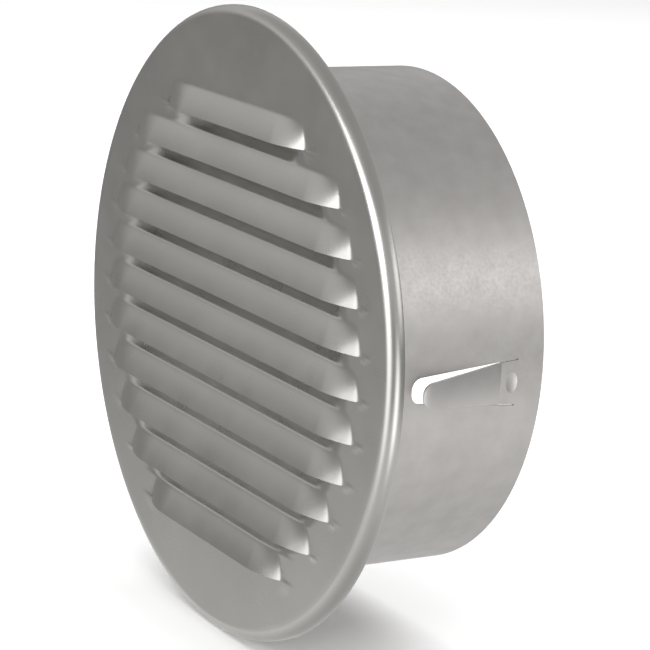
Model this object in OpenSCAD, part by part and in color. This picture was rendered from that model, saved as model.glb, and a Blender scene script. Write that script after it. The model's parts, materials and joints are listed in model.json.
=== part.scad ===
// Round louvred ventilation grille with a duct collar, pressed and rolled from stainless sheet.
// The louvred face looks along -Y, the collar runs along +Y, and +Z is up.
// The origin is on the collar's axis, in the plane of the wall that the flange's rim rests on.
// A place "round the collar" is an angle in degrees from +X towards +Z.

/* [Sheet] */
// Thickness of the stainless sheet
sheet_t = 0.8; // [0.6:0.1:1]

/* [Collar] */
// Outer diameter of the collar, 1 mm under the duct it slides into
collar_d = 149; // [119:1:199]
// Length of the collar behind the wall plane
collar_len = 57; // [46:1:90]
// Width of the out-turned foot that is welded to the back of the face
collar_foot = 6; // [4:0.5:8]

/* [Flange] */
// How far the flange reaches beyond the collar
flange_reach = 18.5; // [15:0.5:26]
// Depth of the flange, from the wall plane to its flat face
flange_depth = 4.5; // [4:0.5:7]
// Outer radius of the rolled rim
rim_roll = 3.5; // [2:0.5:3.5]

/* [Louvres] */
// Height from one louvre's lip to the next
louvre_pitch = 12.4; // [10.2:0.2:16]
// Margin between the louvres' tips and the edge of the flange
louvre_margin = 15.7; // [12:0.1:20]
// Least length of a louvre, tip to tip
louvre_shortest = 76; // [60:1:92]
// Height of the louvre field's middle above the collar's axis
louvre_lift = 0.7; // [-2:0.1:2]
// Height of a hood, from its lip to where it leaves the flat face
hood_h = 7.8; // [6.5:0.1:10]
// How far a hood's lip stands in front of the flat face
hood_rise = 4; // [3:0.1:5]
// Length of each rounded end of a hood
hood_taper = 14; // [10:0.5:18]

/* [Mesh] */
// Diameter of a mesh wire
wire_d = 0.9; // [0.6:0.1:1.2]
// Distance from one mesh wire to the next
wire_pitch = 6.4; // [5:0.1:10]
// Width of the ring that holds the mesh, measured towards the axis
ring_w = 4; // [3:0.5:8]
// Thickness of the ring's walls
ring_t = 0.6; // [0.5:0.1:1]
// Height of the ring's skirt, which holds the mesh clear of the face
mesh_stand = 2.4; // [1:0.1:5]

/* [Spring tongues] */
// Length of a tongue, from its bend to its tip
tongue_len = 28.6; // [20:0.1:34]
// Width of a tongue at its bend
tongue_root_w = 12; // [9:0.5:16]
// Width of a tongue at its tip
tongue_tip_w = 7; // [6.5:0.5:8.5]
// Radius of a tongue's two front corners
tongue_corner = 3; // [1:0.1:3.2]
// How far a tongue is bent outwards from the wall, in degrees
tongue_rise = 12; // [8:0.5:20]
// Distance from the collar's back edge to the tongues' bend
tongue_back = 14; // [12:0.5:18]
// Place of the first tongue round the collar, in degrees
tongue_start = -2; // [-30:1:30]
// Width of the cut that frees a tongue from the wall
lance_w = 0.3; // [0.2:0.1:0.6]
// How far the two side cuts run on behind the bend
lance_run = 5.4; // [3:0.1:6]

/* [Stiffening dimples] */
// Length of a dimple round the collar
dimple_len = 6.5; // [5:0.1:8]
// Width of a dimple along the collar
dimple_w = 3.7; // [3:0.1:4.4]
// Depth of a dimple
dimple_depth = 0.4; // [0.2:0.1:0.5]
// Distance from a tongue's bend back to its dimple's middle
dimple_back = 3.8; // [3:0.1:5]

/* [Hidden] */
$fn = 96;

// Clearances
fit_gap = 0.05;
bend_gap = 0.2;
cut_over = 1;

// Collar and flange
collar_r = collar_d / 2;
bore_r = collar_r - sheet_t;
flange_r = collar_r + flange_reach;
plate_back = sheet_t - flange_depth;

// A hood's section is an arc that leaves the face at the top and stands parallel to it at the lip.
// Each end of the hood turns that section about an upright axis, far enough behind the face for
// the lip to run down to the face over the length of the taper.
hood_centre = (hood_h ^ 2 - hood_rise ^ 2) / (2 * hood_rise);
hood_r = hood_centre + hood_rise;
end_axis = (hood_taper ^ 2 - hood_rise ^ 2) / (2 * hood_rise);
end_turn = acos((end_axis - sheet_t) / (end_axis + hood_rise)) + 1;

// The louvres fill a circle, in as many rows as leave the outer rows long enough.
tip_r = flange_r - louvre_margin;
field_z = sqrt(tip_r ^ 2 - (louvre_shortest / 2) ^ 2);
louvre_count = 1 + floor((2 * field_z - hood_h) / louvre_pitch);

// The mesh ring's skirt seats inside the collar, on the back of the face. Two layers of wire lie in
// the slot behind the skirt.
ring_r = bore_r - fit_gap;
slot_w = 2 * wire_d + 3 * fit_gap;
ring_h = slot_w + 2 * ring_t;
wire_end_r = ring_r - ring_t - fit_gap;
wire_side_count = floor((ring_r - ring_w) / wire_pitch);
upright_y = plate_back + mesh_stand + ring_t + fit_gap + wire_d / 2;
cross_y = upright_y + wire_d + fit_gap;

// Tongues: bend line, tip and widening per millimetre of length
bend_r = collar_r - sheet_t / 2;
bend_y = collar_len - tongue_back;
tip_y = bend_y - tongue_len;
tongue_flare = (tongue_root_w - tongue_tip_w) / 2 / tongue_len;
tongue_angles = [tongue_start, tongue_start + 120, tongue_start + 240];

// A dimple is pressed by a barrel, with one radius for its width and a larger one for its length.
dimple_r = (dimple_w ^ 2 / 4 + dimple_depth ^ 2) / (2 * dimple_depth);
dimple_barrel_r = (dimple_len ^ 2 / 4 + dimple_depth ^ 2) / (2 * dimple_depth);

function lip_z(i) = ((louvre_count - 1) / 2 - i) * louvre_pitch - hood_h / 2 + louvre_lift;

// Half the length of louvre i. The top louvre is as long as the bottom one.
function louvre_half(i) = i == 0 ? louvre_half(louvre_count - 1) : sqrt(tip_r ^ 2 - lip_z(i) ^ 2);

// Half the length of a mesh wire whose middle passes the axis at this distance
function wire_half(offset) = sqrt(wire_end_r ^ 2 - (abs(offset) + wire_d / 2) ^ 2);

// ---- Face plate: a dished disc with a rolled rim and a field of pressed louvres ----

// Half the section of a solid disc with a rounded front edge
module disc_section(r, depth, roll) {
    square([r - roll, depth]);
    square([r, depth - roll]);
    translate([r - roll, depth - roll]) circle(roll);
}

module dish() {
    rotate([90, 0, 0]) rotate_extrude() difference() {
        disc_section(flange_r, flange_depth, rim_roll);
        translate([0, -cut_over])
            disc_section(flange_r - sheet_t, flange_depth - sheet_t + cut_over, rim_roll - sheet_t);
    }
}

// Section of a hood: x is the distance in front of the end's axis, y the height above the lip
module hood_section(shrink) {
    intersection() {
        translate([end_axis - hood_centre, 0]) circle(hood_r - shrink);
        translate([end_axis - sheet_t - cut_over, 0])
            square([hood_rise + sheet_t + cut_over, hood_h + cut_over]);
    }
}

module hood_end(shrink) {
    rotate([0, 0, -90]) rotate_extrude(angle = end_turn) hood_section(shrink);
}

// A solid hood with its lip at z = 0, smaller all round by the shrink
module hood(half, shrink) {
    straight = half - hood_taper;
    translate([0, end_axis - flange_depth, 0]) {
        rotate([90, 0, -90]) linear_extrude(2 * straight, center = true) hood_section(shrink);
        for (side = [0, 1])
            mirror([side, 0, 0]) translate([straight, 0, 0]) hood_end(shrink);
    }
}

module louvres(shrink) {
    for (i = [0 : louvre_count - 1])
        translate([0, 0, lip_z(i)]) hood(louvre_half(i), shrink);
}

// Everything behind the flat face
module behind_face() {
    translate([0, plate_back, 0])
        rotate([-90, 0, 0]) cylinder(r = flange_r, h = end_axis);
}

module face_plate() {
    color("gainsboro") difference() {
        union() {
            dish();
            difference() {
                louvres(0);
                behind_face();
            }
        }
        louvres(sheet_t);
    }
}

// ---- Collar: a rolled tube with a welded foot, lanced for the spring tongues ----

// Turns what is drawn at the collar's right side to its place round the collar
module round_collar(angle) {
    rotate([0, -angle, 0]) children();
}

// A bar through the collar's right wall: its outline's x runs along the collar, its y round it
module through_wall() {
    translate([bore_r - cut_over, 0, 0])
        rotate([90, 0, 90]) linear_extrude(sheet_t + 2 * cut_over) children();
}

module collar_tube() {
    translate([0, plate_back, 0]) rotate([-90, 0, 0]) difference() {
        union() {
            cylinder(r = collar_r, h = collar_len - plate_back);
            cylinder(r = collar_r + collar_foot, h = sheet_t);
        }
        translate([0, 0, -cut_over])
            cylinder(r = bore_r, h = collar_len - plate_back + 2 * cut_over);
    }
}

// Outline of a tongue, grown on its sides and tip and ending at root_y
module tongue_outline(grow, root_y) {
    root_half = tongue_root_w / 2 + grow;
    hull() {
        for (side = [-1, 1])
            translate([tip_y + tongue_corner, side * (tongue_tip_w / 2 - tongue_corner)])
                circle(tongue_corner + grow, $fn = 32);
        translate([root_y - bend_gap, -root_half]) square([bend_gap, 2 * root_half]);
    }
}

// The side cuts behind the bend, in line with the tongue's edges
module lance_runs() {
    near = tongue_root_w / 2;
    far = near + lance_run * tongue_flare;
    for (side = [-1, 1])
        scale([1, side]) polygon([
            [bend_y - cut_over, near - cut_over * tongue_flare],
            [bend_y + lance_run, far],
            [bend_y + lance_run, far + lance_w],
            [bend_y - cut_over, near - cut_over * tongue_flare + lance_w]
        ]);
}

module dimple() {
    translate([collar_r + dimple_barrel_r - dimple_depth, bend_y + dimple_back, 0])
        rotate([90, 0, 0]) rotate_extrude()
            translate([dimple_barrel_r - dimple_r, 0]) circle(dimple_r);
}

module collar() {
    color("silver") difference() {
        collar_tube();
        for (angle = tongue_angles)
            round_collar(angle) {
                through_wall() tongue_outline(lance_w, bend_y);
                through_wall() lance_runs();
                dimple();
            }
    }
}

// ---- Mesh: a slotted ring inside the collar with two layers of wire ----

module mesh_ring() {
    color("darkgray") translate([0, plate_back, 0]) rotate([-90, 0, 0]) rotate_extrude()
        difference() {
            translate([ring_r - ring_w, 0]) square([ring_w, mesh_stand + ring_h]);
            translate([ring_r - ring_w - cut_over, -cut_over])
                square([ring_w - ring_t + cut_over, mesh_stand + cut_over]);
            translate([ring_r - ring_w - cut_over, mesh_stand + ring_t])
                square([ring_w - ring_t + cut_over, slot_w]);
        }
}

// One layer of upright wires, side by side along X
module wire_layer() {
    for (k = [-wire_side_count : wire_side_count])
        translate([k * wire_pitch, 0, 0])
            cylinder(d = wire_d, h = 2 * wire_half(k * wire_pitch), center = true, $fn = 24);
}

module mesh_upright_wires() {
    color("lightgray") translate([0, upright_y, 0]) wire_layer();
}

module mesh_cross_wires() {
    color("lightgray") translate([0, cross_y, 0]) rotate([0, 90, 0]) wire_layer();
}

// ---- Spring tongues: lanced from the collar's wall and bent outwards ----

module tongue(angle) {
    color("whitesmoke") round_collar(angle)
        translate([bend_r, bend_y, 0]) rotate([0, 0, tongue_rise]) translate([-bend_r, -bend_y, 0])
            intersection() {
                collar_tube();
                through_wall() tongue_outline(0, bend_y - bend_gap);
            }
}

face_plate();
collar();
mesh_ring();
mesh_upright_wires();
mesh_cross_wires();
tongue(tongue_angles[0]);  // tongue_right
tongue(tongue_angles[1]);  // tongue_upper_left
tongue(tongue_angles[2]);  // tongue_lower_left
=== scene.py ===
"""Round louvred ventilation grille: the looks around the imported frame."""
import json
import math

import bpy
from mathutils import Matrix, Vector


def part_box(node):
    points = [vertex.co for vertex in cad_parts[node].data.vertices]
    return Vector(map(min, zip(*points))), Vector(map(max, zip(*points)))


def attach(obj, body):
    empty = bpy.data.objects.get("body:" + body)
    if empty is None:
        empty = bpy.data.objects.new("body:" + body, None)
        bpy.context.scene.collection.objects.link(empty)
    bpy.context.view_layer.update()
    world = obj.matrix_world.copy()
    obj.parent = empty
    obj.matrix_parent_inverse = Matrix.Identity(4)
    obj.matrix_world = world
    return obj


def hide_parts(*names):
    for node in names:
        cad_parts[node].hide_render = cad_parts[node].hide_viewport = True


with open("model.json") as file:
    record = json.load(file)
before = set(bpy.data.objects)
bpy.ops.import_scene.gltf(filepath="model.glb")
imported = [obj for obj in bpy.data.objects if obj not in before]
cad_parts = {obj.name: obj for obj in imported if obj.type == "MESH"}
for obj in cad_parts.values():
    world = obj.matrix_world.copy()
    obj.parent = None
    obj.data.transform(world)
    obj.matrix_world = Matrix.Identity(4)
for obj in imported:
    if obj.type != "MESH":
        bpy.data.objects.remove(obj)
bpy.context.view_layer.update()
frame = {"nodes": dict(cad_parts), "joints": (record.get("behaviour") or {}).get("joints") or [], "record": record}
MM = 0.001

# ---- Sizes: the outline comes from the frame, and the sheet's own sizes are driving values ----
face_low, face_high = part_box("face_plate")
_, ring_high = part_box("mesh_ring")
FLANGE_R = face_high.x
SHEET = 0.8 * MM
SHARP = math.radians(50)                 # edges that turn by more than this stay sharp

# Louvres
ROWS = 11
PITCH = 12.4 * MM
LIFT = 0.7 * MM                          # how far the louvres stand above the middle of the face
HOOD_RISE = 4.0 * MM
HOOD_H = 7.8 * MM
TIP_R = FLANGE_R - 15.7 * MM             # the circle that the louvres' tips lie on
FACE_Y = face_low.y + HOOD_RISE          # the flat face

# A hood's ramp and its ends
END_ZONE = 14 * MM                       # length over which a hood's end is drawn down
END_CORNER = 2.5 * MM                    # how far a hood's top corner lies in from its tip
END_POWER = 0.78                         # under 1, the end is steepest at its tip
END_CURVE = 1.6                          # over 1, the end leaves the hood's crest gently
END_SLOPE = 2                            # fall beyond the tip, before it is levelled off
END_SOFT = 0.02                          # softness of the tip, as a share of the hood
RAMP_BOW = 0.22                          # share of bow in a hood's ramp
RAMP_REACH = 1.25                        # where the ramp has faded out, as a share of the hood's height
PRESS_SOFT = 0.08                        # softness of the ramp's top edge, as a share of the hood

# The strip under each lip, pressed in behind the face
RECESS = 2.1 * MM
RECESS_END = 9 * MM                      # length over which its ends rise to the face
RECESS_INSET = 1 * MM                    # how far it stops short of the louvre's tip
RECESS_R = ring_high.x - 1.2 * MM        # it ends inside the mesh ring's skirt

# The crease beyond each tip
TICK = 0.25 * MM                         # its height
TICK_OUT = 2.4 * MM                      # from the tip to its middle
TICK_L = 1.3 * MM
TICK_W = 0.6 * MM
TICK_LEAN = 0.7                          # how far it climbs for each mm outwards
TICK_ZONE = 5 * MM                       # no crease is felt further than this above or below its lip

# The rolled rim
RIM_ROLL = 3.5 * MM                      # radius of the roll
RIM_STEPS = 10
RIM_EDGE = 0.25 * MM                     # the last stretch before the wall, which draws in
RIM_EDGE_IN = 0.12 * MM                  # by this much
FLAT_R = FLANGE_R - RIM_ROLL             # where the rim starts to roll

# The grid that the face is made from
CAP_ROWS = 14                            # rows above the louvres, and below them
CAP_START = 0.35                         # share of a row between the pole and the first row
TOP_MARGIN = 1.5 * MM                    # from the top hood to the cap above it
HOOD_ROWS = 22
HOOD_MARGIN = 0.7 * MM                   # how far a hood's fine rows go on above it
STRIP_ROWS = 7
STRAIGHT_COLUMNS = 14
END_COLUMNS = 34
FLAT_COLUMNS = 8
TIP_LIMIT = 0.93                         # furthest that the tips' columns lie out, as a share of the row
STRAIGHT_LIMIT = 0.55                    # least share of a louvre's half length that is straight
CUT_END = 0.01 * MM                      # a lip's cut stops this short of its tip

# Spring tongues
TONGUE_L = 28.6 * MM
ROOT_HALF = 6.0 * MM
TIP_HALF = 3.5 * MM
TIP_CORNER = 2.9 * MM
ROOT_LAP = 0.12 * MM                     # how far the strip runs into the wall at its bend
WALL_R = ring_high.x + 0.45 * MM         # middle of the collar's wall
CURL_L = 4.0 * MM                        # length of the tip that curls back towards the wall
CURL = 0.8 * MM
EDGE_ROUND = 0.12 * MM
TONGUE_STEPS = 24                        # steps in the tongue's whole length
PLAIN_STEPS = 21                         # those of them that lie before the tip's corners
CORNER_STEPS = 10
TONGUE_COLUMNS = 12


def lip_z(i):
    return ((ROWS - 1) / 2 - i) * PITCH - HOOD_H / 2 + LIFT


def half_length(i):
    """Half the length of louvre i. The top one is as long as the bottom one."""
    if i == 0:
        return half_length(ROWS - 1)
    return math.sqrt(TIP_R ** 2 - lip_z(i) ** 2)


# ---- Helpers ----
def new_object(name, verts, faces, material, smooth=True):
    mesh = bpy.data.meshes.new(name)
    mesh.from_pydata(verts, [], faces)
    mesh.validate()
    mesh.update()
    piece = bpy.data.objects.new(name, mesh)
    bpy.context.scene.collection.objects.link(piece)
    mesh.materials.append(material)
    mesh.polygons.foreach_set("use_smooth", [smooth] * len(mesh.polygons))
    return piece


def smoothstep(low, high, x):
    t = min(1.0, max(0.0, (x - low) / (high - low)))
    return t * t * (3 - 2 * t)


def soft_floor(value, soft):
    """value, levelling off to nothing below zero."""
    return (value + math.sqrt(value ** 2 + soft ** 2)) / 2


def apply_modifier(piece, modifier):
    bpy.context.view_layer.objects.active = piece
    bpy.ops.object.modifier_apply(modifier=modifier.name)


def thicken(piece, thickness, offset=-1):
    """Gives the sheet its thickness: behind the modelled front, or with offset 0 to both sides."""
    solid = piece.modifiers.new("sheet", "SOLIDIFY")
    solid.thickness = thickness
    solid.offset = offset
    solid.use_even_offset = False
    apply_modifier(piece, solid)
    piece.data.set_sharp_from_angle(angle=SHARP)


def round_edges(piece, width):
    bevel = piece.modifiers.new("edges", "BEVEL")
    bevel.width = width
    bevel.segments = 2
    bevel.limit_method = "ANGLE"
    bevel.angle_limit = SHARP
    apply_modifier(piece, bevel)


# ---- Materials ----
def node(tree, kind, **values):
    made = tree.nodes.new(kind)
    for key, value in values.items():
        setattr(made, key, value)
    return made


def noise(tree, coords, scale, detail, stretch=(1, 1, 1)):
    """A noise texture's factor, stretched along the axes of the object."""
    mapping = node(tree, "ShaderNodeMapping")
    mapping.inputs["Scale"].default_value = stretch
    tree.links.new(coords, mapping.inputs["Vector"])
    texture = node(tree, "ShaderNodeTexNoise")
    texture.inputs["Scale"].default_value = scale
    texture.inputs["Detail"].default_value = detail
    tree.links.new(mapping.outputs["Vector"], texture.inputs["Vector"])
    return texture.outputs["Fac"]


def remap(tree, factor, low, high, from_low=0.3, from_high=0.7):
    """factor carried from one range to another. Noise lies mostly in the range that is the default."""
    made = node(tree, "ShaderNodeMapRange")
    made.inputs["From Min"].default_value = from_low
    made.inputs["From Max"].default_value = from_high
    made.inputs["To Min"].default_value = low
    made.inputs["To Max"].default_value = high
    tree.links.new(factor, made.inputs["Value"])
    return made.outputs["Result"]


def steel(name, light, dark, rough, cloud_scale, grain_scale, grain_depth, grain_stretch=(1, 1, 1)):
    """Satin sheet steel: cloudy colour, uneven gloss and a fine rolled grain."""
    material = bpy.data.materials.new(name)
    material.use_nodes = True
    tree = material.node_tree
    shader = tree.nodes["Principled BSDF"]
    shader.inputs["Metallic"].default_value = 1.0
    coords = node(tree, "ShaderNodeTexCoord").outputs["Object"]

    clouds = noise(tree, coords, cloud_scale, 4)
    mix = node(tree, "ShaderNodeMix", data_type="RGBA")
    mix.inputs["A"].default_value = (*dark, 1)
    mix.inputs["B"].default_value = (*light, 1)
    tree.links.new(remap(tree, clouds, 0, 1), mix.inputs["Factor"])
    tree.links.new(mix.outputs["Result"], shader.inputs["Base Color"])

    gloss = noise(tree, coords, cloud_scale * 6, 3)
    tree.links.new(remap(tree, gloss, rough[0], rough[1]), shader.inputs["Roughness"])

    grain = noise(tree, coords, grain_scale, 2, grain_stretch)
    bump = node(tree, "ShaderNodeBump")
    bump.inputs["Strength"].default_value = 0.35
    bump.inputs["Distance"].default_value = grain_depth
    tree.links.new(grain, bump.inputs["Height"])
    tree.links.new(bump.outputs["Normal"], shader.inputs["Normal"])
    return material


FACE_STEEL = steel("face_steel", light=(0.66, 0.65, 0.62), dark=(0.58, 0.57, 0.54), rough=(0.26, 0.34),
                   cloud_scale=14, grain_scale=2600, grain_depth=0.02 * MM, grain_stretch=(0.15, 1, 1))
COLLAR_STEEL = steel("collar_steel", light=(0.78, 0.755, 0.735), dark=(0.71, 0.685, 0.665),
                     rough=(0.42, 0.50), cloud_scale=160, grain_scale=1800, grain_depth=0.04 * MM)
SPRING_STEEL = steel("spring_steel", light=(0.80, 0.775, 0.755), dark=(0.74, 0.715, 0.695),
                     rough=(0.28, 0.36), cloud_scale=50, grain_scale=2200, grain_depth=0.02 * MM)
WIRE_STEEL = steel("wire_steel", light=(0.66, 0.66, 0.65), dark=(0.55, 0.55, 0.54), rough=(0.25, 0.40),
                   cloud_scale=200, grain_scale=3000, grain_depth=0.02 * MM)


# ---- Face plate ----
def hood_height(i, x, z):
    """How far the sheet stands in front of the face at (x, z), by louvre i.

    The hood is a ramp from the face to the lip, which is drawn down to the face at both ends.
    """
    v = (z - lip_z(i)) / HOOD_H
    if v < 0 or v > RAMP_REACH:
        return 0.0
    ramp = (1 - RAMP_BOW) * (1 - v) + RAMP_BOW * (1 - v ** 2)
    tip = half_length(i) - END_CORNER * min(v, 1) ** 2
    u = max(0.0, 1 - (tip - abs(x)) / END_ZONE)
    drawn = (1 - u ** END_CURVE) ** END_POWER if u < 1 else -END_SLOPE * (u - 1)
    return HOOD_RISE * soft_floor(ramp, PRESS_SOFT) * soft_floor(drawn, END_SOFT)


def recess_depth(k, x, z):
    """How far the strip under the lip of louvre k is pressed in. There is none under the bottom louvre."""
    down = (lip_z(k) - z) / (PITCH - HOOD_H)
    if k == ROWS - 1 or down < 0 or down > 1:
        return 0.0
    reach = min(half_length(k) - RECESS_INSET, math.sqrt(RECESS_R ** 2 - z ** 2))
    return RECESS * (1 - down ** 2) * smoothstep(0, RECESS_END, reach - abs(x))


def pucker(x, z):
    """A small crease that the lancing leaves beyond each louvre's tip."""
    rise = 0.0
    for k in range(ROWS):
        up = z - lip_z(k)
        if abs(up) < TICK_ZONE:
            out = abs(x) - half_length(k) - TICK_OUT
            rise += TICK * math.exp(-(out / TICK_L) ** 2 - ((up - TICK_LEAN * out) / TICK_W) ** 2)
    return rise


def face_front(x, z, hood, strip):
    """Distance of the sheet in front of the flat face: on a hood, on a strip, or on the bare face."""
    rise = pucker(x, z)
    if hood is not None:
        rise += hood_height(hood, x, z)
    if strip is not None:
        rise -= recess_depth(strip, x, z)
    return rise


def face_rows():
    """The grid's rows from the top: (z, louvre whose hood the row is on, louvre whose strip it is on).

    A row that is on the hood and the strip of one louvre is its lip: it is cut between them.
    """
    rows = []
    top = lip_z(0) + HOOD_H + TOP_MARGIN
    start = math.asin(top / FLAT_R)
    for k in range(CAP_ROWS):
        angle = math.pi / 2 - (math.pi / 2 - start) * (k + CAP_START) / CAP_ROWS
        rows.append((FLAT_R * math.sin(angle), 0, None))
    reach = HOOD_H + HOOD_MARGIN
    strip = PITCH - reach
    for i in range(ROWS):
        low = lip_z(i)
        if i > 0:
            for k in range(1, STRIP_ROWS):
                rows.append((low + reach + strip * (1 - k / STRIP_ROWS), i, i - 1))
        for k in range(HOOD_ROWS):
            rows.append((low + reach * (1 - k / HOOD_ROWS), i, i - 1 if i > 0 else None))
        rows.append((low, i, i))
    end = math.asin(lip_z(ROWS - 1) / FLAT_R)
    for k in range(1, CAP_ROWS + 1):
        angle = end - (end + math.pi / 2) * (k - CAP_START) / CAP_ROWS
        rows.append((FLAT_R * math.sin(angle), None, None))
    return rows


def row_breaks(z):
    """Where a row's straight stretch and its tips end: these follow the louvre on that row."""
    lips = [lip_z(i) for i in range(ROWS)]
    if z >= lips[0]:
        half = half_length(0)
        if z > lips[0] + HOOD_H:
            half *= 1 - smoothstep(0, FLAT_R - lips[0] - HOOD_H, z - lips[0] - HOOD_H)
    elif z <= lips[-1]:
        half = half_length(ROWS - 1) * (1 - smoothstep(0, FLAT_R + lips[-1], lips[-1] - z))
    else:
        i = next(k for k in range(1, ROWS) if z >= lips[k])
        share = smoothstep(lips[i] + HOOD_H, lips[i - 1], z)
        half = half_length(i) * (1 - share) + half_length(i - 1) * share
    edge = math.sqrt(max(0.0, FLAT_R ** 2 - z ** 2))
    half = min(half, edge * TIP_LIMIT)
    return max(half - END_ZONE - END_CORNER, half * STRAIGHT_LIMIT), half, edge


def row_xs(z):
    straight, tip, edge = row_breaks(z)
    side = [straight * k / STRAIGHT_COLUMNS for k in range(STRAIGHT_COLUMNS)]
    side += [straight + (tip - straight) * k / END_COLUMNS for k in range(END_COLUMNS)]
    side += [tip + (edge - tip) * (k / FLAT_COLUMNS) for k in range(FLAT_COLUMNS + 1)]
    return [-x for x in side[:0:-1]] + side


def face_grid():
    """The sheet's front out to the rim's roll: its points, its faces and the loop of points round it."""
    verts, faces = [], []
    front_rows = []                      # per row: the points for the faces above it, and for those below
    for z, hood, strip in face_rows():
        xs = row_xs(z)
        at_lip = hood is not None and hood == strip
        upper = []
        for x in xs:
            upper.append(len(verts))
            verts.append([x, FACE_Y - face_front(x, z, hood, None if at_lip else strip), z])
        lower = list(upper)
        if at_lip:
            for n, x in enumerate(xs):
                if abs(x) < half_length(hood) - CUT_END:
                    lower[n] = len(verts)
                    verts.append([x, FACE_Y - face_front(x, z, None, strip), z])
        front_rows.append((upper, lower))
    top_pole = len(verts)
    verts.append([0, FACE_Y, FLAT_R])
    bottom_pole = len(verts)
    verts.append([0, FACE_Y, -FLAT_R])
    columns = len(front_rows[0][0])
    for (_, above), (below, _) in zip(front_rows, front_rows[1:]):
        for n in range(columns - 1):
            faces.append((above[n], below[n], below[n + 1], above[n + 1]))
    first, last = front_rows[0][0], front_rows[-1][1]
    for n in range(columns - 1):
        faces.append((top_pole, first[n], first[n + 1]))
        faces.append((bottom_pole, last[n + 1], last[n]))
    edge = [top_pole] + [upper[-1] for upper, _ in front_rows]
    edge += [bottom_pole] + [upper[0] for upper, _ in reversed(front_rows)]
    return verts, faces, edge


def roll_rim(verts, faces, edge):
    """Adds the rim, which rolls back from the grid's edge to the wall."""
    profile = []
    for k in range(1, RIM_STEPS + 1):
        turn = math.pi / 2 * k / RIM_STEPS
        profile.append((RIM_ROLL * math.sin(turn), RIM_ROLL * (1 - math.cos(turn))))
    profile.append((RIM_ROLL, -FACE_Y - RIM_EDGE))
    profile.append((RIM_ROLL - RIM_EDGE_IN, -FACE_Y))
    loops = [edge]
    for out, back in profile:
        loop = []
        for v in edge:
            x, _, z = verts[v]
            r = math.hypot(x, z)
            loop.append(len(verts))
            verts.append([x / r * (FLAT_R + out), FACE_Y + back, z / r * (FLAT_R + out)])
        loops.append(loop)
    count = len(edge)
    for inner, outer in zip(loops, loops[1:]):
        for n in range(count):
            m = (n + 1) % count
            faces.append((inner[n], inner[m], outer[m], outer[n]))


def face_plate():
    verts, faces, edge = face_grid()
    roll_rim(verts, faces, edge)
    piece = new_object("face_plate_sheet", verts, faces, FACE_STEEL)
    thicken(piece, SHEET)
    return piece


face = face_plate()
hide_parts("face_plate")
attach(face, "grille")


# ---- Spring tongues ----
def tongue_half(along):
    """Half the tongue's width at a distance from its bend, with its front corners rounded."""
    half = ROOT_HALF + (TIP_HALF - ROOT_HALF) * along / TONGUE_L
    corner = along - (TONGUE_L - TIP_CORNER)
    if corner > 0:
        half -= TIP_CORNER - math.sqrt(max(0.0, TIP_CORNER ** 2 - corner ** 2))
    return half


def tongue_lengths():
    """Distances from the bend at which the tongue's rows lie, closer together round its tip."""
    lengths = [TONGUE_L * k / TONGUE_STEPS for k in range(PLAIN_STEPS)]
    for k in range(1, CORNER_STEPS + 1):
        lengths.append(TONGUE_L - TIP_CORNER * (1 - math.sin(math.pi / 2 * k / CORNER_STEPS)))
    lengths = sorted({round(v, 7) for v in lengths} - {0.0})
    return [-ROOT_LAP] + lengths


def spring_tongue(joint, number):
    """A curved strip that stands out from the bend line of its joint."""
    pivot = Vector(joint["pos_m"])
    rise = math.radians(joint["range_deg"][1])
    radial = Vector((pivot.x, 0, pivot.z)).normalized()
    axial = Vector((0, 1, 0))
    round_wall = radial.cross(axial)
    lengths = tongue_lengths()
    verts, faces = [], []
    for along in lengths:
        half = tongue_half(max(0.0, along))
        curl = max(0.0, along - (TONGUE_L - CURL_L)) / CURL_L
        for n in range(TONGUE_COLUMNS + 1):
            side = half * (2 * n / TONGUE_COLUMNS - 1)
            out = math.sqrt(WALL_R ** 2 - side ** 2) - WALL_R - CURL * curl ** 2
            verts.append(pivot + radial * (out * math.cos(rise) + along * math.sin(rise))
                         + axial * (out * math.sin(rise) - along * math.cos(rise)) + round_wall * side)
    row = TONGUE_COLUMNS + 1
    for k in range(len(lengths) - 1):
        for n in range(TONGUE_COLUMNS):
            at = k * row + n
            faces.append((at, at + 1, at + 1 + row, at + row))
    piece = new_object(f"tongue_strip_{number}", [tuple(v) for v in verts], faces, SPRING_STEEL)
    thicken(piece, SHEET, offset=0)
    round_edges(piece, EDGE_ROUND)
    return piece


for number, joint in enumerate(frame["joints"], 1):
    strip = spring_tongue(joint, number)
    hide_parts(frame["record"]["behaviour"]["bodies"][joint["child"]][0])
    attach(strip, joint["child"])

# ---- CAD nodes that stay, with their finish ----
for name, material in (("collar", COLLAR_STEEL), ("mesh_ring", WIRE_STEEL),
                       ("mesh_upright_wires", WIRE_STEEL), ("mesh_cross_wires", WIRE_STEEL)):
    for slot in frame["nodes"][name].material_slots:
        slot.material = material


# ---- Camera, floor and light ----
AZIMUTH, ELEVATION, ROLL = (math.radians(a) for a in (59.394, 13.306, 3.385))
CAMERA_PLACE = Vector((6.853, -3.736, 1.858)) * FLANGE_R
LENS = 140.954                           # in mm, as is the sensor's width
SENSOR_W = 36
FLOOR_HALF = 12.0
FLOOR_WHITE = 0.93

# The studio's brightness: (sine of the elevation, brightness there)
STUDIO = ((-1.0, 0.45), (-0.50, 0.75), (-0.40, 0.80), (-0.34, 0.56), (-0.24, 0.28), (0.16, 0.25),
          (0.34, 0.62), (0.46, 0.60), (0.64, 0.42), (1.0, 0.36))


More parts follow.
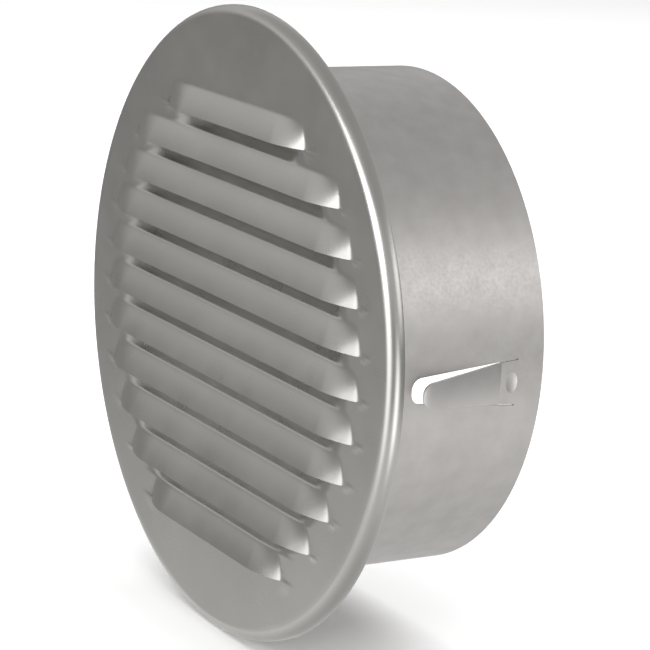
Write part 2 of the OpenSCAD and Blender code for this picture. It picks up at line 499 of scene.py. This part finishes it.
def camera():
    back = Vector((math.sin(AZIMUTH) * math.cos(ELEVATION), -math.cos(AZIMUTH) * math.cos(ELEVATION),
                   math.sin(ELEVATION)))
    right = Vector((math.cos(AZIMUTH), math.sin(AZIMUTH), 0))
    up = back.cross(right)
    right, up = (math.cos(ROLL) * right + math.sin(ROLL) * up, math.cos(ROLL) * up - math.sin(ROLL) * right)
    data = bpy.data.cameras.new("camera")
    data.sensor_width = SENSOR_W
    data.lens = LENS
    data.clip_start = 0.01
    made = bpy.data.objects.new("camera", data)
    turn = Matrix((right, up, back)).transposed().to_4x4()
    made.matrix_world = Matrix.Translation(CAMERA_PLACE) @ turn
    bpy.context.scene.collection.objects.link(made)
    bpy.context.scene.camera = made


def floor():
    size = FLOOR_HALF
    low = -FLANGE_R
    material = bpy.data.materials.new("floor")
    material.use_nodes = True
    shader = material.node_tree.nodes["Principled BSDF"]
    shader.inputs["Base Color"].default_value = (FLOOR_WHITE, FLOOR_WHITE, FLOOR_WHITE, 1)
    shader.inputs["Roughness"].default_value = 0.9
    shader.inputs["Specular IOR Level"].default_value = 0.0
    verts = [(-size, -size, low), (size, -size, low), (size, size, low), (-size, size, low)]
    made = new_object("floor", verts, [(0, 1, 2, 3)], material, smooth=False)
    made.visible_glossy = False          # the steel mirrors the studio, not the white floor


def softbox(name, place, aim, width, height, power, glossy=True):
    data = bpy.data.lights.new(name, "AREA")
    data.shape = "RECTANGLE"
    data.size = width
    data.size_y = height
    data.energy = power
    made = bpy.data.objects.new(name, data)
    turn = (Vector(place) - Vector(aim)).to_track_quat("Z", "Y").to_matrix().to_4x4()
    made.matrix_world = Matrix.Translation(place) @ turn
    made.visible_glossy = glossy
    bpy.context.scene.collection.objects.link(made)


def add_glow(tree, coords, colour, towards, strength, fade_from, fade_to):
    """colour with a round glow added. The glow fades between two cosines of the angle from its middle."""
    facing = node(tree, "ShaderNodeVectorMath", operation="DOT_PRODUCT")
    tree.links.new(coords, facing.inputs[0])
    facing.inputs[1].default_value = Vector(towards).normalized()
    glow = remap(tree, facing.outputs["Value"], 0, strength, fade_from, fade_to)
    total = node(tree, "ShaderNodeVectorMath", operation="ADD")
    tree.links.new(colour, total.inputs[0])
    tree.links.new(glow, total.inputs[1])
    return total.outputs["Vector"]


def sky():
    """A grey studio: pale below and above, dim along the horizon, with two glows."""
    world = bpy.data.worlds.new("studio")
    bpy.context.scene.world = world
    world.use_nodes = True
    tree = world.node_tree
    coords = node(tree, "ShaderNodeTexCoord").outputs["Generated"]
    split = node(tree, "ShaderNodeSeparateXYZ")
    tree.links.new(coords, split.inputs["Vector"])
    height = remap(tree, split.outputs["Z"], 0, 1, -1, 1)
    ramp = node(tree, "ShaderNodeValToRGB")
    tree.links.new(height, ramp.inputs["Fac"])
    while len(ramp.color_ramp.elements) < len(STUDIO):
        ramp.color_ramp.elements.new(0.5)
    for element, (sine, value) in zip(ramp.color_ramp.elements, STUDIO):
        element.position = (sine + 1) / 2
        element.color = (value, value, value, 1)
    colour = ramp.outputs["Color"]
    # a broad glow in front of the louvres, and a narrow one low on the right, which the rolled rim shows
    colour = add_glow(tree, coords, colour, (0.12, -1.0, -0.05), strength=1.3, fade_from=0.88, fade_to=0.98)
    colour = add_glow(tree, coords, colour, (0.96, -0.1, -0.25), strength=1.6, fade_from=0.92, fade_to=0.99)
    tree.links.new(colour, tree.nodes["Background"].inputs["Color"])


camera()
floor()
sky()
softbox("front", (0.1, -1.6, 0.6), (0, 0, 0), width=1.5, height=0.8, power=11)
softbox("right_back", (1.2, 0.75, 0.55), (0, 0, 0), width=0.9, height=0.6, power=1.7)
softbox("floor_wash", (0.1, 0.3, 1.6), (0, 0.3, 0), width=3.0, height=3.0, power=60, glossy=False)
bpy.context.scene.view_settings.view_transform = "Standard"
